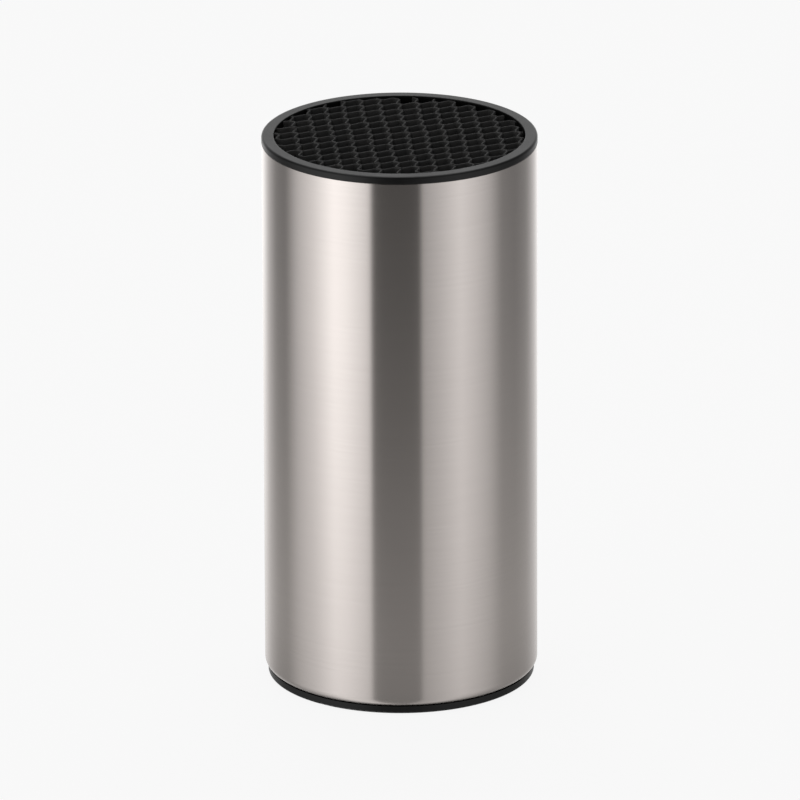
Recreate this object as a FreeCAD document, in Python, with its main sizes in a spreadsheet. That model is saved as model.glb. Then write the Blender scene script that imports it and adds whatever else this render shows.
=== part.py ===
import FreeCAD, Part
import math
import os
import Sketcher
from FreeCAD import Placement, Rotation, Vector

# A round universal knife block: a brushed steel sleeve on a moulded base, and a lift-out
# insert of corrugated plastic strips that stand on edge. A blade goes between the strips.
# Origin: centre of the footprint, on the surface it stands on. X runs along the strips.

SIZES = {
    # outer sleeve, rolled from sheet steel, with a flange bent inward at the bottom
    "sleeve_diameter": 111.3,
    "sleeve_wall": 0.8,
    "sleeve_bottom": 3.9,
    "sleeve_top": 227.0,
    "sleeve_flange_radius": 46.0,
    "sleeve_bend": 1.8,
    # moulded base cap: the dark band under the steel, screwed up against the flange
    "cap_radius": 54.3,
    "cap_bottom": 0.8,
    "cap_edge_round": 0.8,
    "cap_recess_radius": 38.0,
    "cap_recess_ceiling": 2.0,
    "cap_rib_width": 1.6,
    "cap_rib_count": 6,
    "spigot_inner_radius": 43.5,
    "spigot_clearance": 0.3,
    "spigot_rise": 0.7,
    # rubber foot ring, let into a groove of the cap
    "foot_inner_radius": 41.5,
    "foot_outer_radius": 46.0,
    "foot_groove_ceiling": 2.0,
    "foot_edge_round": 0.5,
    # ring inside the sleeve that clamps the flange
    "clamp_inner_radius": 43.5,
    "clamp_thickness": 4.0,
    "clamp_clearance": 0.3,
    # countersunk screws through cap and flange into the ring
    "screw_circle_radius": 49.6,
    "screw_count": 4,
    "screw_head_radius": 2.75,
    "screw_head_depth": 1.3,
    "screw_head_sink": 0.3,
    "screw_shank_radius": 1.5,
    "screw_length": 7.8,
    "screw_drive_width": 0.7,
    "screw_drive_span": 3.2,
    "screw_drive_depth": 0.9,
    "screw_hole_clearance": 0.1,
    # top collar: a ring on the edges of sleeve and liner, with a skirt between the two
    "collar_radius": 55.75,
    "collar_thickness": 3.0,
    "collar_top_round": 0.9,
    "collar_under_round": 0.3,
    "collar_inner_radius": 50.75,
    "collar_inner_round": 0.3,
    "collar_skirt_depth": 6.0,
    "collar_skirt_clearance": 0.3,
    # liner: a cup that hangs from the collar and carries the strips
    "liner_outer_radius": 53.0,
    "liner_wall": 2.0,
    "liner_bottom": 10.0,
    "liner_floor": 2.0,
    "drain_radius": 2.5,
    "drain_circle_radius": 30.0,
    "drain_count": 6,
    # corrugated strips, set in opposite phase so that each pair encloses long hexagonal cells
    "strip_count": 18,
    "strip_pitch": 5.52,
    "strip_row_start": -47.87,
    "strip_top": 229.8,
    "strip_end_gap": 0.1,
    "wave_length": 10.12,
    "wave_flat": 3.35,
    "wave_thickness": 0.8,
    "wave_bend": 1.2,
    "wave_touch_gap": 0.06,
}

doc = FreeCAD.newDocument("knife_block")
sheet = doc.addObject("Spreadsheet::Sheet", "Sizes")
for row, (alias, number) in enumerate(SIZES.items(), start=1):
    sheet.set(f"A{row}", alias.replace("_", " "))
    sheet.set(f"B{row}", str(number))
    sheet.setAlias(f"B{row}", alias)
doc.recompute()


def size(expression):
    """The number that an expression over the sheet's cells comes to."""
    return float(sheet.evalExpression(expression))


def cell(alias):
    """An expression that reads one cell of the sheet."""
    return f"Sizes.{alias}"


def origin_plane(body, role):
    """One of a body's own origin planes."""
    return next(plane for plane in body.Origin.OriginFeatures if plane.Role == role)


def new_sketch(body, name, role):
    """An empty sketch on one of a body's origin planes."""
    sketch = body.newObject("Sketcher::SketchObject", name)
    sketch.AttachmentSupport = (origin_plane(body, role), [""])
    sketch.MapMode = "FlatFace"
    return sketch


def bind_point(sketch, geometry, point, across, up):
    """Ties a sketch point to the expressions for its two coordinates."""
    for kind, axis, expression in (("DistanceX", -2, across), ("DistanceY", -1, up)):
        value = size(expression)
        if value == 0:
            sketch.addConstraint(Sketcher.Constraint("PointOnObject", geometry, point, axis))
            continue
        index = sketch.addConstraint(Sketcher.Constraint(kind, -1, 1, geometry, point, value))
        sketch.setExpression(f"Constraints[{index}]", expression)


def closed_outline(sketch, outline):
    """Draws a closed polygon whose corners are pairs of expressions."""
    corners = [Vector(size(across), size(up), 0) for across, up in outline]
    count = len(corners)
    for index, corner in enumerate(corners):
        sketch.addGeometry(Part.LineSegment(corner, corners[(index + 1) % count]), False)
    for index in range(count):
        after = (index + 1) % count
        sketch.addConstraint(Sketcher.Constraint("Coincident", index, 2, after, 1))
    for index, (across, up) in enumerate(outline):
        bind_point(sketch, index, 1, across, up)


def turned_body(name, outline):
    """A body of revolution about Z; its half section is given as (radius, height) pairs."""
    body = doc.addObject("PartDesign::Body", name)
    section = new_sketch(body, f"{name}_section", "XZ_Plane")
    closed_outline(section, outline)
    turned = body.newObject("PartDesign::Revolution", f"{name}_turned")
    turned.Profile = section
    turned.ReferenceAxis = (section, ["V_Axis"])
    turned.Angle = 360.0
    doc.recompute()
    return body


def round_edges(body, name, radius, circles):
    """Fillets the circular edges of a body at the given (radius, height) expressions."""
    base = body.Tip
    names = []
    for ring, height in circles:
        for number, edge in enumerate(base.Shape.Edges, start=1):
            curve = edge.Curve
            if not isinstance(curve, Part.Circle):
                continue
            near = abs(curve.Radius - size(ring)) < 1e-4
            if near and abs(curve.Center.z - size(height)) < 1e-4:
                names.append(f"Edge{number}")
    fillet = body.newObject("PartDesign::Fillet", name)
    fillet.Base = (base, names)
    fillet.setExpression("Radius", radius)
    doc.recompute()


def bored_pattern(body, name, radius, circle, count):
    """Bores a ring of equal holes right through a body, parallel to Z, the first on X."""
    sketch = new_sketch(body, f"{name}_circle", "XY_Plane")
    centre = Vector(size(circle), 0, 0)
    sketch.addGeometry(Part.Circle(centre, Vector(0, 0, 1), size(radius)), False)
    index = sketch.addConstraint(Sketcher.Constraint("Radius", 0, size(radius)))
    sketch.setExpression(f"Constraints[{index}]", radius)
    bind_point(sketch, 0, 3, circle, "0")
    pocket = body.newObject("PartDesign::Pocket", f"{name}_bore")
    pocket.Profile = sketch
    pocket.Type = "ThroughAll"
    pocket.Midplane = True
    doc.recompute()
    repeat_around(body, name, pocket, count)


def repeat_around(body, name, feature, count):
    """Repeats a feature of a body evenly about Z."""
    pattern = body.newObject("PartDesign::PolarPattern", f"{name}_pattern")
    pattern.Originals = [feature]
    axis = next(line for line in body.Origin.OriginFeatures if line.Role == "Z_Axis")
    pattern.Axis = (axis, [""])
    pattern.Angle = 360.0
    pattern.setExpression("Occurrences", count)
    body.Tip = pattern
    doc.recompute()


# expressions that several pieces share
SLEEVE_OUTER = f"{cell('sleeve_diameter')} / 2"
SLEEVE_INNER = f"{SLEEVE_OUTER} - {cell('sleeve_wall')}"
SLEEVE_BOTTOM = cell("sleeve_bottom")
SLEEVE_TOP = cell("sleeve_top")
FLANGE_TOP = f"{SLEEVE_BOTTOM} + {cell('sleeve_wall')}"
INNER_BEND = f"{cell('sleeve_bend')} - {cell('sleeve_wall')}"
CLAMP_TOP = f"{FLANGE_TOP} + {cell('clamp_thickness')}"
CAP_BOTTOM = cell("cap_bottom")
GROOVE_CEILING = cell("foot_groove_ceiling")
SPIGOT_RADIUS = f"{cell('sleeve_flange_radius')} - {cell('spigot_clearance')}"
SPIGOT_TOP = f"{SLEEVE_BOTTOM} + {cell('spigot_rise')}"
LINER_INNER = f"{cell('liner_outer_radius')} - {cell('liner_wall')}"
FLOOR_TOP = f"{cell('liner_bottom')} + {cell('liner_floor')}"
COLLAR_TOP = f"{SLEEVE_TOP} + {cell('collar_thickness')}"
SCREW_HOLE = f"{cell('screw_shank_radius')} + {cell('screw_hole_clearance')}"


def make_outer_sleeve():
    """Steel tube with its bottom edge bent inward as a flange."""
    outer, inner = SLEEVE_OUTER, SLEEVE_INNER
    flange = cell("sleeve_flange_radius")
    body = turned_body("outer_sleeve", [
        (flange, SLEEVE_BOTTOM),
        (outer, SLEEVE_BOTTOM),
        (outer, SLEEVE_TOP),
        (inner, SLEEVE_TOP),
        (inner, FLANGE_TOP),
        (flange, FLANGE_TOP),
    ])
    round_edges(body, "sleeve_bend", cell("sleeve_bend"), [(outer, SLEEVE_BOTTOM)])
    round_edges(body, "sleeve_inner_bend", INNER_BEND, [(inner, FLANGE_TOP)])
    bored_pattern(body, "flange_holes", SCREW_HOLE, cell("screw_circle_radius"),
                  cell("screw_count"))
    return body


def make_base_cap():
    """Moulded disc under the sleeve, with a spigot, a foot groove and a ribbed recess."""
    outer = cell("cap_radius")
    recess = cell("cap_recess_radius")
    ceiling = cell("cap_recess_ceiling")
    foot_inner = cell("foot_inner_radius")
    foot_outer = cell("foot_outer_radius")
    body = turned_body("base_cap", [
        ("0", ceiling),
        (recess, ceiling),
        (recess, CAP_BOTTOM),
        (foot_inner, CAP_BOTTOM),
        (foot_inner, GROOVE_CEILING),
        (foot_outer, GROOVE_CEILING),
        (foot_outer, CAP_BOTTOM),
        (outer, CAP_BOTTOM),
        (outer, SLEEVE_BOTTOM),
        (SPIGOT_RADIUS, SLEEVE_BOTTOM),
        (SPIGOT_RADIUS, SPIGOT_TOP),
        (cell("spigot_inner_radius"), SPIGOT_TOP),
        (cell("spigot_inner_radius"), SLEEVE_BOTTOM),
        ("0", SLEEVE_BOTTOM),
    ])
    round_edges(body, "cap_edge_round", cell("cap_edge_round"), [(outer, CAP_BOTTOM)])
    add_cap_ribs(body)
    sink_screw_holes(body)
    return body


def add_cap_ribs(body):
    """Straight ribs across the cap's underside recess, like the spokes of a wheel."""
    half = f"{cell('cap_rib_width')} / 2"
    reach = f"{cell('cap_recess_radius')} + 0.5"
    sketch = new_sketch(body, "cap_rib_outline", "XY_Plane")
    closed_outline(sketch, [("0", f"-({half})"), (reach, f"-({half})"), (reach, half), ("0", half)])
    sketch.AttachmentOffset = Placement(Vector(0, 0, size(CAP_BOTTOM)), Rotation())
    sketch.setExpression(".AttachmentOffset.Base.z", CAP_BOTTOM)
    rib = body.newObject("PartDesign::Pad", "cap_rib")
    rib.Profile = sketch
    rib.setExpression("Length", f"{cell('cap_recess_ceiling')} - {CAP_BOTTOM} + 0.5")
    doc.recompute()
    repeat_around(body, "cap_rib", rib, cell("cap_rib_count"))


def sink_screw_holes(body):
    """Countersunk screw holes of the cap, turned about each screw's own axis."""
    sketch = new_sketch(body, "countersink_section", "XZ_Plane")
    axis = cell("screw_circle_radius")
    gap = cell("screw_hole_clearance")
    head = f"{cell('screw_head_radius')} + {gap}"
    sink = f"{CAP_BOTTOM} + {cell('screw_head_sink')}"
    neck = f"{sink} + {cell('screw_head_depth')}"
    closed_outline(sketch, [
        (axis, "0.1"),
        (f"{axis} + {head}", "0.1"),
        (f"{axis} + {head}", sink),
        (f"{axis} + {SCREW_HOLE}", neck),
        (f"{axis} + {SCREW_HOLE}", FLANGE_TOP),
        (axis, FLANGE_TOP),
    ])
    count = len(sketch.Geometry)
    groove = body.newObject("PartDesign::Groove", "countersink")
    groove.Profile = sketch
    groove.ReferenceAxis = (sketch, [f"Edge{count}"])
    groove.Angle = 360.0
    doc.recompute()
    repeat_around(body, "countersink", groove, cell("screw_count"))


def make_clamp_ring():
    """Ring inside the sleeve that the screws pull down on to the flange."""
    inner = cell("clamp_inner_radius")
    outer = f"{SLEEVE_INNER} - {cell('clamp_clearance')}"
    body = turned_body("clamp_ring", [
        (inner, FLANGE_TOP), (outer, FLANGE_TOP), (outer, CLAMP_TOP), (inner, CLAMP_TOP),
    ])
    round_edges(body, "clamp_round", INNER_BEND, [(outer, FLANGE_TOP)])
    bored_pattern(body, "clamp_pilots", cell("screw_shank_radius"),
                  cell("screw_circle_radius"), cell("screw_count"))
    return body


def make_foot_ring():
    """Rubber ring in the cap's groove; it stands proud of the cap and meets the table."""
    inner, outer = cell("foot_inner_radius"), cell("foot_outer_radius")
    body = turned_body("foot_ring", [
        (inner, "0"), (outer, "0"), (outer, GROOVE_CEILING), (inner, GROOVE_CEILING),
    ])
    round_edges(body, "foot_edge_round", cell("foot_edge_round"), [(inner, "0"), (outer, "0")])
    return body


def make_screw(index):
    """One countersunk screw, standing point up, with a cross recess in its head."""
    sink = f"{CAP_BOTTOM} + {cell('screw_head_sink')}"
    head = doc.addObject("Part::Cone", f"screw_{index}_head")
    head.setExpression("Radius1", cell("screw_head_radius"))
    head.setExpression("Radius2", cell("screw_shank_radius"))
    head.setExpression("Height", cell("screw_head_depth"))
    shank = doc.addObject("Part::Cylinder", f"screw_{index}_shank")
    shank.setExpression("Radius", cell("screw_shank_radius"))
    shank.setExpression("Height", cell("screw_length"))
    blank = doc.addObject("Part::Fuse", f"screw_{index}_blank")
    blank.Base, blank.Tool = head, shank
    span, width = cell("screw_drive_span"), cell("screw_drive_width")
    cross = doc.addObject("Part::Fuse", f"screw_{index}_drive")
    cross.Base = make_drive_slot(f"screw_{index}_slot_along", span, width)
    cross.Tool = make_drive_slot(f"screw_{index}_slot_across", width, span)
    screw = doc.addObject("Part::Cut", f"screw_{index}")
    screw.Base, screw.Tool = blank, cross
    angle = 360.0 / size(cell("screw_count")) * index
    turn = Rotation(Vector(0, 0, 1), angle)
    spot = turn.multVec(Vector(size(cell("screw_circle_radius")), 0, size(sink)))
    screw.Placement = Placement(spot, turn)
    return screw


def make_drive_slot(name, length, width):
    """One slot of a screw's cross recess, centred on the screw's axis."""
    slot = doc.addObject("Part::Box", name)
    slot.setExpression("Length", length)
    slot.setExpression("Width", width)
    slot.setExpression("Height", cell("screw_drive_depth"))
    slot.setExpression(".Placement.Base.x", f"-({length}) / 2")
    slot.setExpression(".Placement.Base.y", f"-({width}) / 2")
    return slot


def make_base_screws():
    """The equal screws, kept together as one group."""
    group = doc.addObject("Part::Compound", "base_screws")
    group.Links = [make_screw(index) for index in range(int(size(cell("screw_count"))))]
    doc.recompute()
    return group


def make_top_collar():
    """Ring that caps sleeve and liner, with a skirt that goes down between the two."""
    outer, inner = cell("collar_radius"), cell("collar_inner_radius")
    skirt_outer = f"{SLEEVE_INNER} - {cell('collar_skirt_clearance')}"
    skirt_inner = cell("liner_outer_radius")
    skirt_bottom = f"{SLEEVE_TOP} - {cell('collar_skirt_depth')}"
    body = turned_body("top_collar", [
        (inner, COLLAR_TOP),
        (inner, SLEEVE_TOP),
        (skirt_inner, SLEEVE_TOP),
        (skirt_inner, skirt_bottom),
        (skirt_outer, skirt_bottom),
        (skirt_outer, SLEEVE_TOP),
        (outer, SLEEVE_TOP),
        (outer, COLLAR_TOP),
    ])
    round_edges(body, "collar_under_round", cell("collar_under_round"), [(outer, SLEEVE_TOP)])
    round_edges(body, "collar_top_round", cell("collar_top_round"), [(outer, COLLAR_TOP)])
    round_edges(body, "collar_inner_round", cell("collar_inner_round"), [(inner, COLLAR_TOP)])
    return body


def make_insert_liner():
    """Thin cup inside the sleeve, open at the top, with drain holes in its floor."""
    outer, inner = cell("liner_outer_radius"), LINER_INNER
    bottom = cell("liner_bottom")
    body = turned_body("insert_liner", [
        ("0", bottom), (outer, bottom), (outer, SLEEVE_TOP), (inner, SLEEVE_TOP),
        (inner, FLOOR_TOP), ("0", FLOOR_TOP),
    ])
    bored_pattern(body, "drain_holes", cell("drain_radius"), cell("drain_circle_radius"),
                  cell("drain_count"))
    return body


def wave_amplitude():
    """Half the rise of a strip's middle line, so that neighbouring flats just clear."""
    rise = size(cell("strip_pitch")) - size(cell("wave_thickness")) - size(cell("wave_touch_gap"))
    return rise / 2


def wave_corners(periods):
    """Sharp corners of the wave's middle line, from low flat to low flat, centred on x = 0."""
    length = size(cell("wave_length"))
    flat = size(cell("wave_flat"))
    amplitude = wave_amplitude()
    corners = []
    for index in range(-periods, periods + 1):
        crest = index * length
        corners.append(Vector(crest - (length - flat) / 2, -amplitude, 0))
        corners.append(Vector(crest - flat / 2, amplitude, 0))
        corners.append(Vector(crest + flat / 2, amplitude, 0))
        corners.append(Vector(crest + (length - flat) / 2, -amplitude, 0))
    return corners


def wave_side(corners, offset):
    """One face line of the wave: the middle line with rounded bends, moved sideways."""
    bend = size(cell("wave_bend"))
    edges = []
    here = None
    for before, corner, after in zip(corners, corners[1:], corners[2:]):
        inward = (corner - before).normalize()
        onward = (after - corner).normalize()
        inward_left = Vector(-inward.y, inward.x, 0)
        onward_left = Vector(-onward.y, onward.x, 0)
        turn = math.copysign(1.0, inward.cross(onward).z)
        reach = bend * math.tan(inward.getAngle(onward) / 2)
        centre = corner - inward * reach + inward_left * (turn * bend)
        start = corner - inward * reach + inward_left * offset
        end = corner + onward * reach + onward_left * offset
        middle = centre + (corner - centre).normalize() * (bend - turn * offset)
        if here is not None:
            edges.append(Part.LineSegment(here, start).toShape())
        edges.append(Part.Arc(start, middle, end).toShape())
        here = end
    return edges


def make_corrugated_sheet():
    """The endless corrugated sheet that every strip is cut from."""
    periods = int(size(cell("sleeve_diameter")) / size(cell("wave_length")) / 2) + 2
    corners = wave_corners(periods)
    half = size(cell("wave_thickness")) / 2
    upper = wave_side(corners, half)
    lower = wave_side(corners, -half)
    ends = [
        Part.LineSegment(upper[0].Vertexes[0].Point, lower[0].Vertexes[0].Point).toShape(),
        Part.LineSegment(upper[-1].Vertexes[-1].Point, lower[-1].Vertexes[-1].Point).toShape(),
    ]
    outline = Part.Wire(Part.__sortEdges__(upper + lower + ends))
    rise = size(cell("strip_top")) - size(FLOOR_TOP)
    shape = Part.Face(outline).extrude(Vector(0, 0, rise))
    corrugated = doc.addObject("Part::Feature", "corrugated_sheet")
    corrugated.Shape = shape
    return corrugated


def wave_height(along):
    """Height of the sharp-cornered middle line at a place along the wave; crest at 0."""
    length = size(cell("wave_length"))
    flat = size(cell("wave_flat"))
    amplitude = wave_amplitude()
    place = abs((along + length / 2) % length - length / 2)
    slope_start = flat / 2
    slope_end = (length - flat) / 2
    share = min(max((place - slope_start) / (slope_end - slope_start), 0.0), 1.0)
    return amplitude * (1 - 2 * share)


def strip_half_length(shift, offset):
    """How far a strip runs each way from its middle before it would meet the collar."""
    limit = size(cell("collar_inner_radius")) - size(cell("strip_end_gap"))
    half = size(cell("wave_thickness")) / 2
    run = size(cell("wave_length")) / 2 - size(cell("wave_flat"))
    slant = half * math.hypot(run, 2 * wave_amplitude()) / (2 * wave_amplitude())
    step = 0.05
    along = 0.0
    while True:
        place = along + step - shift
        faces = [abs(offset + wave_height(place)) + half]
        faces += [abs(offset + wave_height(place + side)) for side in (-slant, slant)]
        if math.hypot(along + step, max(faces)) > limit:
            return along
        along += step


def make_wave_strips(corrugated):
    """Strips cut from the sheet, each to the length that the round liner leaves it."""
    strips = []
    pitch = size(cell("strip_pitch"))
    floor = size(FLOOR_TOP)
    for index in range(int(size(cell("strip_count")))):
        offset = size(cell("strip_row_start")) + pitch * index
        shift = 0.0 if index % 2 else size(cell("wave_length")) / 2
        reach = strip_half_length(shift, offset)
        blank = doc.addObject("Part::Box", f"strip_blank_{index + 1:02d}")
        blank.Length = 2 * reach
        blank.setExpression("Width", f"2 * {cell('strip_pitch')}")
        blank.setExpression("Height", f"{cell('strip_top')} - ({FLOOR_TOP})")
        blank.Placement.Base = Vector(-reach - shift, -pitch, 0)
        strip = doc.addObject("Part::Common", f"wave_strip_{index + 1:02d}")
        strip.Base, strip.Tool = corrugated, blank
        strip.Placement.Base = Vector(shift, offset, floor)
        strips.append(strip)
    doc.recompute()
    return strips


def check_document(pieces):
    """Stops if anything failed to recompute or a piece is not a sound solid."""
    for item in doc.Objects:
        if "Invalid" in item.State or "Error" in item.State:
            raise RuntimeError(f"{item.Name} failed: {item.State}")
    for piece in pieces:
        shape = piece.Shape
        if shape.isNull() or not shape.isValid() or not shape.Solids:
            raise RuntimeError(f"{piece.Label} is not a valid solid")


def main():
    pieces = [
        make_outer_sleeve(),
        make_base_cap(),
        make_clamp_ring(),
        make_foot_ring(),
        make_base_screws(),
        make_top_collar(),
        make_insert_liner(),
    ]
    pieces += make_wave_strips(make_corrugated_sheet())
    doc.recompute()
    check_document(pieces)
    os.makedirs("parts", exist_ok=True)
    for piece in pieces:
        piece.Shape.exportStep(f"parts/{piece.Label}.step")
        box = piece.Shape.BoundBox
        print(f"{piece.Label}: {len(piece.Shape.Solids)} solid, {piece.Shape.Volume:.0f} mm3, "
              f"z {box.ZMin:.2f} to {box.ZMax:.2f}")


main()
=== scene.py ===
import math

import bmesh
import bpy
import numpy as np
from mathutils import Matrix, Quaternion, Vector


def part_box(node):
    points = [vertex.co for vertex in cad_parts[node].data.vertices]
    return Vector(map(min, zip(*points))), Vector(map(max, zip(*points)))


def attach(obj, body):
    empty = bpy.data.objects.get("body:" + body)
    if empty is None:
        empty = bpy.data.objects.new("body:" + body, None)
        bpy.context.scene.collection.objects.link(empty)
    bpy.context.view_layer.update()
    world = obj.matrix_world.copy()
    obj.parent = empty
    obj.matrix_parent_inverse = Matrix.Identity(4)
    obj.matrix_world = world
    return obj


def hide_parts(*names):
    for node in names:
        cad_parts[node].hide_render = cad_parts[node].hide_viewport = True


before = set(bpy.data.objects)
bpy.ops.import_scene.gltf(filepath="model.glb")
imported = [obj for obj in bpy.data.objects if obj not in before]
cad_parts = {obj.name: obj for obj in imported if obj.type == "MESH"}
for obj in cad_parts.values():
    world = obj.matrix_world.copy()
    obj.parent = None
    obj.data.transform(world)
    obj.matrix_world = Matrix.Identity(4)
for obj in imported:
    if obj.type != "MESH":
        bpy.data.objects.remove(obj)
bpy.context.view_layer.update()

# The looks of a round universal knife block: a brushed steel sleeve, black moulded parts and
# corrugated strips standing on edge. Everything is in metres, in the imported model's frame.

MM = 0.001

# the photograph's point of view: a long lens, a little above the rim and a hair off level
CAMERA_AZIMUTH = math.radians(37.7)
CAMERA_ELEVATION = math.radians(19.22)
CAMERA_DISTANCE = 5.1
CAMERA_LENS = 565.0
CAMERA_AIM_HEIGHT = 116.5 * MM
CAMERA_AIM_ASIDE = -0.14 * MM
CAMERA_ROLL = math.radians(-0.2)

# small sizes that the nodes' boxes don't give
SLEEVE_WALL = 0.8 * MM
SLEEVE_BEND = 3.2 * MM
FLANGE_INNER_RADIUS = 46.0 * MM
CUT_EDGE_ROUND = 0.2 * MM
SEAM_HALF_WIDTH = 0.45 * MM
SEAM_DEPTH = 0.04 * MM
COLLAR_WIDTH = 5.0 * MM
COLLAR_TOP_ROUND = 0.9 * MM
COLLAR_EDGE_ROUND = 0.3 * MM
SKIRT_GAP = 0.3 * MM
STRIP_THICKNESS = 0.8 * MM
STRIP_EDGE_ROUND = 0.22 * MM
STRIP_TOP_SPREAD = 0.25 * MM
SWAY_LIMIT = 50.6 * MM
WAVE_LENGTH = 10.12 * MM
WAVE_FLAT = 3.35 * MM
WAVE_BEND = 1.2 * MM

# how finely the meshes are divided
RING_SEGMENTS = 288
ARC_STEPS = 6
SUPPORT = 0.12 * MM

# the studio
BACKDROP = 0.94
BRIGHTEST_GLOW = 2.0
CEILING_SHARE = 0.5
FLOOR_RADIUS = 4.0
TABLE_GLOW_RADIUS = 0.78
SHADE_RADIUS = 0.13
LAMP_WIDTH = 1.6
LAMP_POWER = 12.0
LAMP_HEIGHT = 1.8
LAMP_BEHIND = 0.5


# ---------------------------------------------------------------- outlines and turned meshes

def support_points(start, end):
    """Extra points just inside a long run, so that smooth shading stays flat along it."""
    run = end - start
    if run.length < 4 * SUPPORT:
        return []
    step = run.normalized() * SUPPORT
    return [start + step, end - step]


def rounded_outline(corners):
    """A closed half section from (radius, height, rounding) corners, in metres."""
    entries = []
    count = len(corners)
    for index, (across, up, rounding) in enumerate(corners):
        corner = Vector((across, up))
        before = Vector(corners[index - 1][:2])
        after = Vector(corners[(index + 1) % count][:2])
        inward = (corner - before).normalized()
        onward = (after - corner).normalized()
        turn = inward.angle(onward)
        if rounding == 0:
            entries.append([corner])
            continue
        reach = rounding * math.tan(turn / 2)
        start = corner - inward * reach
        end = corner + onward * reach
        entries.append(arc_through(start, corner, end, ARC_STEPS))
    outline = []
    for index, points in enumerate(entries):
        outline += points
        outline += support_points(points[-1], entries[(index + 1) % count][0])
    return outline


def arc_through(start, corner, end, steps):
    """Points of the arc that leaves start towards corner and arrives at end from it."""
    first = start - corner
    last = end - corner
    middle = (first + last).normalized()
    half = first.angle(middle)
    centre = corner + middle * (first.length / math.cos(half))
    radius = (start - centre).length
    begin = math.atan2(start.y - centre.y, start.x - centre.x)
    sweep = math.atan2(end.y - centre.y, end.x - centre.x) - begin
    sweep = (sweep + math.pi) % (2 * math.pi) - math.pi
    points = []
    for step in range(steps + 1):
        angle = begin + sweep * step / steps
        points.append(centre + Vector((math.cos(angle), math.sin(angle))) * radius)
    return points


def even_angles(count):
    """Angles of a full turn, evenly spaced."""
    return [2 * math.pi * index / count for index in range(count)]


def turned_mesh(name, outline, angles):
    """Spins a closed half section about Z and returns the object."""
    mesh = bmesh.new()
    rings = []
    for angle in angles:
        cosine, sine = math.cos(angle), math.sin(angle)
        rings.append([mesh.verts.new((p.x * cosine, p.x * sine, p.y)) for p in outline])
    count = len(outline)
    for index, ring in enumerate(rings):
        onward = rings[(index + 1) % len(rings)]
        for low in range(count):
            high = (low + 1) % count
            mesh.faces.new((ring[low], onward[low], onward[high], ring[high]))
    bmesh.ops.recalc_face_normals(mesh, faces=mesh.faces)
    return finish_mesh(name, mesh)


def finish_mesh(name, mesh, sharp_angle=math.radians(40)):
    """Turns a bmesh into a smooth-shaded object with its hard edges kept."""
    data = bpy.data.meshes.new(name)
    mesh.to_mesh(data)
    mesh.free()
    data.polygons.foreach_set("use_smooth", [True] * len(data.polygons))
    data.set_sharp_from_angle(angle=sharp_angle)
    piece = bpy.data.objects.new(name, data)
    bpy.context.scene.collection.objects.link(piece)
    return piece


# ---------------------------------------------------------------- node materials

class Nodes:
    """A short way to write a node tree: each call adds nodes and feeds their inputs."""

    def __init__(self, tree):
        self.tree = tree

    def add(self, kind, inputs=None, **settings):
        node = self.tree.nodes.new(kind)
        for key, value in settings.items():
            setattr(node, key, value)
        for key, value in (inputs or {}).items():
            self.feed(node.inputs[key], value)
        return node

    def feed(self, socket, value):
        """Links another node's output to a socket, or sets a plain value on it."""
        if isinstance(value, bpy.types.NodeSocket):
            self.tree.links.new(value, socket)
        else:
            socket.default_value = value

    def math(self, operation, *values):
        """One arithmetic step."""
        return self.add("ShaderNodeMath", dict(enumerate(values)), operation=operation).outputs[0]

    def noise(self, scale, detail=2.0, roughness=0.5):
        """Noise over the piece's own coordinates; scale is in cycles per metre on each axis."""
        place = self.add("ShaderNodeTexCoord").outputs["Object"]
        scaled = self.add("ShaderNodeMapping", {"Vector": place, "Scale": scale}).outputs[0]
        inputs = {"Vector": scaled, "Scale": 1.0, "Detail": detail, "Roughness": roughness}
        return self.add("ShaderNodeTexNoise", inputs).outputs[0]

    def spread(self, value, low, high, to_low=0.0, to_high=1.0):
        """Maps a value from low..high to to_low..to_high, clamped."""
        inputs = {0: value, 1: low, 2: high, 3: to_low, 4: to_high}
        return self.add("ShaderNodeMapRange", inputs).outputs[0]

    def blend(self, factor, first, second):
        """Mixes two colours, from first at 0 to second at 1."""
        node = self.add("ShaderNodeMix", data_type="RGBA")
        for number, value in ((0, factor), (6, first), (7, second)):
            self.feed(node.inputs[number], value)
        return node.outputs[2]

    def clouded(self, cloud, dark, light):
        """A grey, or nearly so, that wanders between two tones with a cloud of noise."""
        return self.blend(self.spread(cloud, 0.35, 0.65), (*dark, 1), (*light, 1))

    def bump(self, height, distance, strength):
        """A bumped normal; distance is the relief's depth in metres."""
        inputs = {"Height": height, "Distance": distance, "Strength": strength}
        return self.add("ShaderNodeBump", inputs).outputs[0]


def new_material(name):
    """A material with an empty Principled shader, and its node writer."""
    material = bpy.data.materials.new(name)
    material.use_nodes = True
    nodes = Nodes(material.node_tree)
    shader = material.node_tree.nodes["Principled BSDF"]
    return material, nodes, shader


def link(nodes, value, shader, socket):
    """Feeds one of the shader's sockets from a node's output."""
    nodes.tree.links.new(value, shader.inputs[socket])


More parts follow.
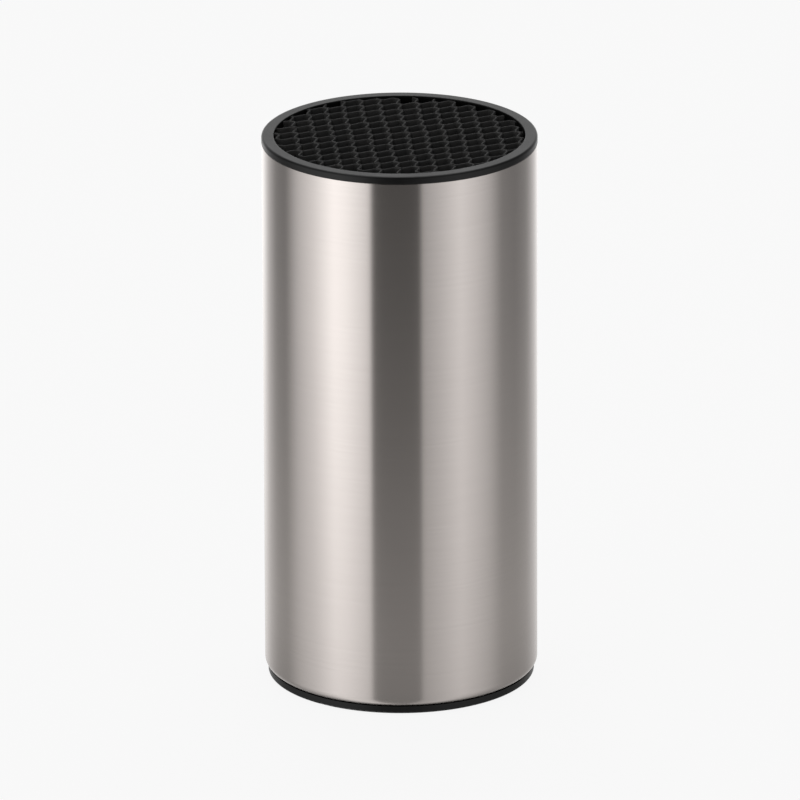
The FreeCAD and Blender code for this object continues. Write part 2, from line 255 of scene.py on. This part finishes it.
def brushed_steel():
    """Stainless sheet with fine hairlines round the sleeve, so that light smears up and down."""
    material, nodes, shader = new_material("brushed_steel")
    shader.inputs["Metallic"].default_value = 1.0
    shader.inputs["Anisotropic"].default_value = 1.0
    shader.inputs["Anisotropic Rotation"].default_value = 0.25
    tangent = nodes.add("ShaderNodeTangent", direction_type="RADIAL", axis="Z")
    link(nodes, tangent.outputs[0], shader, "Tangent")
    hairlines = nodes.noise((45.0, 45.0, 7000.0), detail=3.0, roughness=0.7)
    coarse = nodes.noise((14.0, 14.0, 1500.0), detail=2.0)
    cloud = nodes.noise((22.0, 22.0, 16.0), detail=3.0)
    tone = nodes.math("ADD", nodes.math("MULTIPLY", hairlines, 0.7),
                      nodes.math("MULTIPLY", coarse, 0.3))
    dark, light = (0.597, 0.552, 0.529, 1), (0.641, 0.593, 0.568, 1)
    link(nodes, nodes.blend(nodes.spread(tone, 0.3, 0.7), dark, light), shader, "Base Color")
    rough = nodes.math("ADD", nodes.spread(cloud, 0.3, 0.7, 0.215, 0.235),
                       nodes.spread(hairlines, 0.3, 0.7, -0.01, 0.01))
    link(nodes, rough, shader, "Roughness")
    link(nodes, nodes.bump(tone, 0.000004, 0.5), shader, "Normal")
    return material


def black_plastic():
    """Black moulded plastic: a fine spark-eroded grain, faint flow marks and uneven gloss."""
    material, nodes, shader = new_material("black_plastic")
    shader.inputs["Specular IOR Level"].default_value = 0.26
    grain = nodes.noise((2600.0, 2600.0, 2600.0), detail=2.0, roughness=0.6)
    cloud = nodes.noise((70.0, 70.0, 70.0), detail=3.0)
    colour = nodes.clouded(cloud, (0.0045, 0.0045, 0.0045), (0.007, 0.007, 0.007))
    link(nodes, colour, shader, "Base Color")
    gloss = nodes.math("ADD", nodes.spread(cloud, 0.3, 0.7, 0.31, 0.37),
                       nodes.spread(grain, 0.3, 0.7, -0.03, 0.03))
    link(nodes, gloss, shader, "Roughness")
    link(nodes, nodes.bump(grain, 0.00002, 0.6), shader, "Normal")
    return material


def strip_plastic():
    """Black extruded strip with draw lines on its walls; the walls are painted a lighter grey than
    the darker upward-facing tops, painted light that brightens the shaded cells.
    """
    material, nodes, shader = new_material("strip_plastic")
    shader.inputs["Specular IOR Level"].default_value = 0.05
    draw_lines = nodes.noise((2200.0, 2200.0, 25.0), detail=3.0, roughness=0.6)
    cloud = nodes.noise((120.0, 120.0, 60.0), detail=3.0)
    # painted light: the walls get a lighter grey than the tops, chosen by which way each face points,
    # so the cells between the strips read brighter
    walls = nodes.clouded(cloud, (0.050, 0.050, 0.050), (0.064, 0.063, 0.062))
    edges = nodes.clouded(cloud, (0.020, 0.020, 0.020), (0.027, 0.026, 0.026))
    facing = nodes.add("ShaderNodeNewGeometry").outputs["Normal"]
    upward = nodes.add("ShaderNodeSeparateXYZ", {"Vector": facing}).outputs["Z"]
    colour = nodes.blend(nodes.spread(upward, 0.2, 0.8), walls, edges)
    link(nodes, colour, shader, "Base Color")
    gloss = nodes.math("ADD", nodes.spread(cloud, 0.3, 0.7, 0.46, 0.56),
                       nodes.spread(draw_lines, 0.3, 0.7, -0.04, 0.04))
    link(nodes, gloss, shader, "Roughness")
    link(nodes, nodes.bump(draw_lines, 0.00002, 0.5), shader, "Normal")
    return material


def foot_rubber():
    """Soft matt rubber with a dusty, slightly scuffed surface."""
    material, nodes, shader = new_material("foot_rubber")
    shader.inputs["Specular IOR Level"].default_value = 0.3
    grit = nodes.noise((1800.0, 1800.0, 1800.0), detail=3.0, roughness=0.7)
    scuff = nodes.noise((160.0, 160.0, 160.0), detail=4.0)
    clean, dusty = (0.016, 0.016, 0.016, 1), (0.034, 0.033, 0.032, 1)
    link(nodes, nodes.blend(nodes.spread(scuff, 0.45, 0.75), clean, dusty), shader, "Base Color")
    link(nodes, nodes.spread(grit, 0.3, 0.7, 0.7, 0.85), shader, "Roughness")
    link(nodes, nodes.bump(grit, 0.00004, 0.7), shader, "Normal")
    return material


def zinc_steel():
    """Zinc-plated screw steel: a spangled, faintly blue grey."""
    material, nodes, shader = new_material("zinc_steel")
    shader.inputs["Metallic"].default_value = 1.0
    spangle = nodes.noise((900.0, 900.0, 900.0), detail=3.0, roughness=0.6)
    dark, light = (0.42, 0.44, 0.47, 1), (0.62, 0.63, 0.65, 1)
    link(nodes, nodes.blend(nodes.spread(spangle, 0.3, 0.7), dark, light), shader, "Base Color")
    link(nodes, nodes.spread(spangle, 0.3, 0.7, 0.28, 0.45), shader, "Roughness")
    link(nodes, nodes.bump(spangle, 0.00001, 0.5), shader, "Normal")
    return material


def dress(piece, material, slot, body, *nodes):
    """Gives a new piece its material and body, and hides the nodes it stands for; slot is not used.
    """
    piece.data.materials.append(material)
    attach(piece, body)
    if nodes:
        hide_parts(*nodes)


def repaint(node, material):
    """Gives a CAD node that stays a better material, and smooth shading."""
    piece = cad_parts[node]
    for slot in piece.material_slots:
        slot.material = material
    piece.data.polygons.foreach_set("use_smooth", [True] * len(piece.data.polygons))
    piece.data.set_sharp_from_angle(angle=math.radians(30))


# ---------------------------------------------------------------- the sleeve and the collar

def make_sleeve(material):
    """Steel tube with softened cut edges, a bent-in bottom flange and a ground weld seam."""
    low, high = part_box("outer_sleeve")
    outer = high.x
    inner = outer - SLEEVE_WALL
    outline = rounded_outline([
        (FLANGE_INNER_RADIUS, low.z, CUT_EDGE_ROUND),
        (outer, low.z, SLEEVE_BEND),
        (outer, high.z, CUT_EDGE_ROUND),
        (inner, high.z, CUT_EDGE_ROUND),
        (inner, low.z + SLEEVE_WALL, SLEEVE_BEND - SLEEVE_WALL),
        (FLANGE_INNER_RADIUS, low.z + SLEEVE_WALL, CUT_EDGE_ROUND),
    ])
    seam = CAMERA_AZIMUTH + math.pi / 2
    offsets = [width * MM / outer for width in (-0.9, -0.6, -0.3, 0.0, 0.3, 0.6, 0.9)]
    seam_angles = [(seam + offset) % (2 * math.pi) for offset in offsets]
    angles = sorted(even_angles(RING_SEGMENTS) + seam_angles)
    sleeve = turned_mesh("sleeve_shell", outline, angles)
    for vertex in sleeve.data.vertices:
        grind_seam(vertex.co, seam, outer)
    dress(sleeve, material, "brushed_steel", "housing", "outer_sleeve")


def grind_seam(place, seam, outer):
    """Sinks a point of the sleeve's outside a little where it lies on the weld seam."""
    around = (math.atan2(place.y, place.x) - seam + math.pi) % (2 * math.pi) - math.pi
    near = abs(around) * outer / SEAM_HALF_WIDTH
    outside = math.hypot(place.x, place.y) > outer - SLEEVE_WALL / 8
    if outside and near < 1:
        place.xy *= 1 - SEAM_DEPTH / outer * (1 - near)


def make_collar(material):
    """Moulded ring on the sleeve's edge: a flat top, softened edges and a skirt."""
    low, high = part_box("top_collar")
    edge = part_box("outer_sleeve")[1].z
    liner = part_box("insert_liner")[1].x
    outer = high.x
    inner = outer - COLLAR_WIDTH
    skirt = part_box("outer_sleeve")[1].x - SLEEVE_WALL - SKIRT_GAP
    outline = rounded_outline([
        (inner, high.z, COLLAR_EDGE_ROUND),
        (inner, edge, COLLAR_EDGE_ROUND / 2),
        (liner, edge, 0),
        (liner, low.z, COLLAR_EDGE_ROUND / 2),
        (skirt, low.z, COLLAR_EDGE_ROUND),
        (skirt, edge, 0),
        (outer, edge, COLLAR_EDGE_ROUND),
        (outer, high.z, COLLAR_TOP_ROUND),
    ])
    collar = turned_mesh("collar_ring", outline, even_angles(RING_SEGMENTS))
    dress(collar, material, "black_plastic", "insert", "top_collar")


# ---------------------------------------------------------------- the corrugated strips

def wave_line(amplitude, shift, reach):
    """Middle line of a strip as (place, direction) pairs, from -reach to reach along X."""
    corners = []
    periods = int(reach / WAVE_LENGTH) + 2
    slope_end = (WAVE_LENGTH - WAVE_FLAT) / 2
    for index in range(-periods, periods + 1):
        crest = shift + index * WAVE_LENGTH
        corners.append(Vector((crest - slope_end, -amplitude)))
        corners.append(Vector((crest - WAVE_FLAT / 2, amplitude)))
        corners.append(Vector((crest + WAVE_FLAT / 2, amplitude)))
        corners.append(Vector((crest + slope_end, -amplitude)))
    points = []
    for before, corner, after in zip(corners, corners[1:], corners[2:]):
        inward = (corner - before).normalized()
        onward = (after - corner).normalized()
        tangent = WAVE_BEND * math.tan(inward.angle(onward) / 2)
        points += arc_through(corner - inward * tangent, corner, corner + onward * tangent, ARC_STEPS)
    return clip_line(points, reach)


def clip_line(points, reach):
    """Cuts a line at -reach and reach along X, and adds a direction to each point."""
    line = []
    for start, end in zip(points, points[1:]):
        for limit in (-reach, reach):
            if (start.x - limit) * (end.x - limit) < 0:
                share = (limit - start.x) / (end.x - start.x)
                line.append(start.lerp(end, share))
        if -reach < end.x < reach:
            line.append(end)
    line.sort(key=lambda point: point.x)
    places = []
    for index, point in enumerate(line):
        before = line[max(index - 1, 0)]
        after = line[min(index + 1, len(line) - 1)]
        places.append((point, (after - before).normalized()))
    return places


def sway(place, height_share):
    """A slow, smooth wandering of the whole pack, which dies away towards the liner and the floor."""
    x, y = place.x / MM, place.y / MM
    fade = max(0.0, 1 - place.length_squared / SWAY_LIMIT ** 2) ** 0.5
    along = 0.32 * math.sin(0.11 * x + 0.07 * y + 0.6) + 0.20 * math.sin(0.05 * x - 0.17 * y + 2.1)
    across = 0.30 * math.sin(0.09 * y - 0.10 * x + 1.3) + 0.18 * math.sin(0.19 * x + 0.06 * y + 4.0)
    strength = fade * (0.35 + 0.65 * height_share) * MM
    return Vector((along * strength, across * strength))


def make_strip(number, material, drop):
    """One corrugated strip, standing on edge, with softened edges; drop lowers its top a little."""
    node = f"wave_strip_{number:02d}"
    low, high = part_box(node)
    middle = Vector((0, (low.y + high.y) / 2))
    amplitude = (high.y - low.y - STRIP_THICKNESS) / 2
    shift = 0.0 if number % 2 == 0 else WAVE_LENGTH / 2
    line = wave_line(amplitude, shift, high.x)
    top = high.z - drop
    mesh = bmesh.new()
    rows = []
    for height, inset in strip_levels(low.z, top):
        share = (height - low.z) / (top - low.z)
        half = STRIP_THICKNESS / 2 - inset
        sides = ([], [])
        for place, direction in line:
            normal = Vector((-direction.y, direction.x))
            for side, sign in zip(sides, (1, -1)):
                point = place + normal * (half * sign) + middle
                point += sway(point, share)
                side.append(mesh.verts.new((point.x, point.y, height)))
        rows.append(sides)
    close_strip(mesh, rows)
    strip = finish_mesh(f"strip_{number:02d}", mesh, math.radians(50))
    dress(strip, material, "strip_plastic", "insert", node)


def strip_levels(bottom, top):
    """A strip's (height, inset) pairs: a bevel below, straight walls and a rounded edge on top."""
    levels = [(bottom, STRIP_EDGE_ROUND), (bottom + STRIP_EDGE_ROUND, 0.0)]
    levels += [(bottom + (top - bottom) * share, 0.0) for share in (0.2, 0.4, 0.6, 0.8, 0.92)]
    steps = 4
    for step in range(steps + 1):
        angle = math.pi / 2 * step / steps
        height = top - STRIP_EDGE_ROUND * (1 - math.sin(angle))
        levels.append((height, STRIP_EDGE_ROUND * (1 - math.cos(angle))))
    return levels


def close_strip(mesh, rows):
    """Joins a strip's rows of points into walls, ends, bottom and top."""
    last = len(rows[0][0]) - 1
    for (left, right), (left_above, right_above) in zip(rows, rows[1:]):
        for here in range(last):
            there = here + 1
            mesh.faces.new((left[here], left[there], left_above[there], left_above[here]))
            mesh.faces.new((right[there], right[here], right_above[here], right_above[there]))
        for end in (0, last):
            mesh.faces.new((left[end], left_above[end], right_above[end], right[end]))
    for left, right in (rows[0], rows[-1]):
        for here in range(last):
            mesh.faces.new((left[here], left[here + 1], right[here + 1], right[here]))
    bmesh.ops.recalc_face_normals(mesh, faces=mesh.faces)


def make_strips(material):
    """All the strips; their tops aren't quite level with each other."""
    numbers = [int(name[-2:]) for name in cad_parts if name.startswith("wave_strip_")]
    drops = np.random.default_rng(7)
    for number in sorted(numbers):
        make_strip(number, material, drops.uniform(0.0, STRIP_TOP_SPREAD))


# ---------------------------------------------------------------- the studio

def soft_world():
    """Studio light as the steel sees it: two soft boxes, a white backdrop and a dimmer ceiling."""
    world = bpy.data.worlds.new("studio")
    bpy.context.scene.world = world
    world.use_nodes = True
    nodes = Nodes(world.node_tree)
    background = world.node_tree.nodes["Background"]
    direction = nodes.add("ShaderNodeTexCoord").outputs["Generated"]
    turn = (0.0, 0.0, -CAMERA_AZIMUTH)
    turned = nodes.add("ShaderNodeMapping", {"Vector": direction, "Rotation": turn}).outputs[0]
    parts = nodes.add("ShaderNodeSeparateXYZ", {"Vector": turned})
    toward = nodes.math("MULTIPLY", parts.outputs["Y"], -1.0)
    around = nodes.math("ARCTAN2", parts.outputs["X"], toward)
    ramp = nodes.add("ShaderNodeValToRGB", {"Fac": nodes.spread(around, -math.pi, math.pi)})
    # (degrees round the block from the camera's side, glow), from one side of the back to the other
    stops = [
        (-180, 1.60), (-158, 1.40), (-142, 0.66), (-126, 0.24), (-110, 0.20), (-95, 0.76),
        (-77, 1.19), (-57, 1.92), (-46, 1.72), (-31, 1.27), (-25, 1.00), (-23, 0.03),
        (16.7, 0.03), (18.8, 0.52), (34, 0.79), (52, 1.16), (66, 0.95), (80, 0.67),
        (94, 0.26), (112, 0.19), (132, 0.28), (148, 0.70), (162, 1.15), (180, 1.60),
    ]
    elements = ramp.color_ramp.elements
    while len(elements) > 1:
        elements.remove(elements[-1])
    for index, (degrees, glow) in enumerate(stops):
        place = (degrees + 180) / 360
        element = elements[0] if index == 0 else elements.new(place)
        element.position = place
        element.color = (glow / BRIGHTEST_GLOW, glow / BRIGHTEST_GLOW, glow / BRIGHTEST_GLOW, 1)
    ceiling = nodes.spread(parts.outputs["Z"], 0.05, 0.25, 1.0, CEILING_SHARE)
    factors = {0: ramp.outputs["Color"], 1: ceiling}
    room = nodes.add("ShaderNodeVectorMath", factors, operation="MULTIPLY").outputs[0]
    seen = nodes.add("ShaderNodeLightPath").outputs["Is Camera Ray"]
    backdrop = BACKDROP / BRIGHTEST_GLOW
    lit = nodes.blend(seen, room, (backdrop, backdrop, backdrop, 1))
    world.node_tree.links.new(lit, background.inputs["Color"])
    background.inputs["Strength"].default_value = BRIGHTEST_GLOW


def studio_floor():
    """Plain pale floor that mostly glows by itself, so that the block's shadow on it stays faint."""
    material, _, shader = new_material("pale_floor")
    shader.inputs["Base Color"].default_value = (0.05, 0.05, 0.05, 1)
    shader.inputs["Roughness"].default_value = 0.9
    shader.inputs["Specular IOR Level"].default_value = 0.0
    shader.inputs["Emission Color"].default_value = (1, 1, 1, 1)
    shader.inputs["Emission Strength"].default_value = 0.908
    mesh = bmesh.new()
    bmesh.ops.create_circle(mesh, cap_ends=True, radius=FLOOR_RADIUS, segments=96)
    floor = finish_mesh("studio_floor", mesh)
    floor.data.materials.append(material)
    floor.visible_glossy = False


def table_glow():
    """Light that the table throws up on the sleeve, weaker far away and in the block's own shade."""
    material = bpy.data.materials.new("table_glow")
    material.use_nodes = True
    nodes = Nodes(material.node_tree)
    material.node_tree.nodes.clear()
    place = nodes.add("ShaderNodeTexCoord").outputs["Object"]
    distance = nodes.add("ShaderNodeVectorMath", {0: place}, operation="LENGTH").outputs["Value"]
    share = nodes.spread(distance, 0.15, TABLE_GLOW_RADIUS, 0.58, 0.0)
    strength = nodes.spread(distance, 0.056, SHADE_RADIUS, 0.42, 0.61)
    clear = nodes.add("ShaderNodeBsdfTransparent").outputs[0]
    warm_white = (1, 0.99, 0.97, 1)
    emission = nodes.add("ShaderNodeEmission", {"Color": warm_white, "Strength": strength}).outputs[0]
    mixed = nodes.add("ShaderNodeMixShader", {0: share, 1: clear, 2: emission}).outputs[0]
    nodes.add("ShaderNodeOutputMaterial", {"Surface": mixed})
    mesh = bmesh.new()
    bmesh.ops.create_circle(mesh, cap_ends=True, radius=TABLE_GLOW_RADIUS, segments=96)
    glow = finish_mesh("table_glow", mesh)
    glow.location.z = -0.002
    glow.data.materials.append(material)
    glow.visible_camera = False
    glow.visible_diffuse = False
    glow.visible_shadow = False


def overhead_light():
    """One large soft light above and a little behind the block."""
    lamp = bpy.data.lights.new("overhead", "AREA")
    lamp.shape = "DISK"
    lamp.size = LAMP_WIDTH
    lamp.energy = LAMP_POWER
    light = bpy.data.objects.new("overhead", lamp)
    bpy.context.scene.collection.objects.link(light)
    away = Vector((-math.sin(CAMERA_AZIMUTH), math.cos(CAMERA_AZIMUTH), 0))
    light.location = away * LAMP_BEHIND + Vector((0, 0, LAMP_HEIGHT))
    aim = Vector((0, 0, 0.1)) - light.location
    light.rotation_euler = aim.to_track_quat("-Z", "Y").to_euler()


def studio_camera():
    """A long lens from the photograph's side and height."""
    data = bpy.data.cameras.new("camera")
    data.lens = CAMERA_LENS
    data.clip_end = 50.0
    camera = bpy.data.objects.new("camera", data)
    bpy.context.scene.collection.objects.link(camera)
    level = math.cos(CAMERA_ELEVATION)
    back = Vector((math.sin(CAMERA_AZIMUTH) * level, -math.cos(CAMERA_AZIMUTH) * level,
                   math.sin(CAMERA_ELEVATION)))
    right = Vector((math.cos(CAMERA_AZIMUTH), math.sin(CAMERA_AZIMUTH), 0))
    aim = Vector((0, 0, CAMERA_AIM_HEIGHT)) + right * CAMERA_AIM_ASIDE
    camera.location = aim + back * CAMERA_DISTANCE
    camera.rotation_mode = "QUATERNION"
    roll = Quaternion((0, 0, 1), CAMERA_ROLL)
    camera.rotation_quaternion = (-back).to_track_quat("-Z", "Y") @ roll
    bpy.context.scene.camera = camera


# ---------------------------------------------------------------- everything together

bpy.context.scene.view_settings.view_transform = "Standard"
studio_camera()
soft_world()
studio_floor()
table_glow()
overhead_light()

STEEL = brushed_steel()
BLACK = black_plastic()
STRIP = strip_plastic()

make_sleeve(STEEL)
make_collar(BLACK)
make_strips(STRIP)
for NODE in ("base_cap", "clamp_ring", "insert_liner"):
    repaint(NODE, BLACK)
repaint("foot_ring", foot_rubber())
repaint("base_screws", zinc_steel())
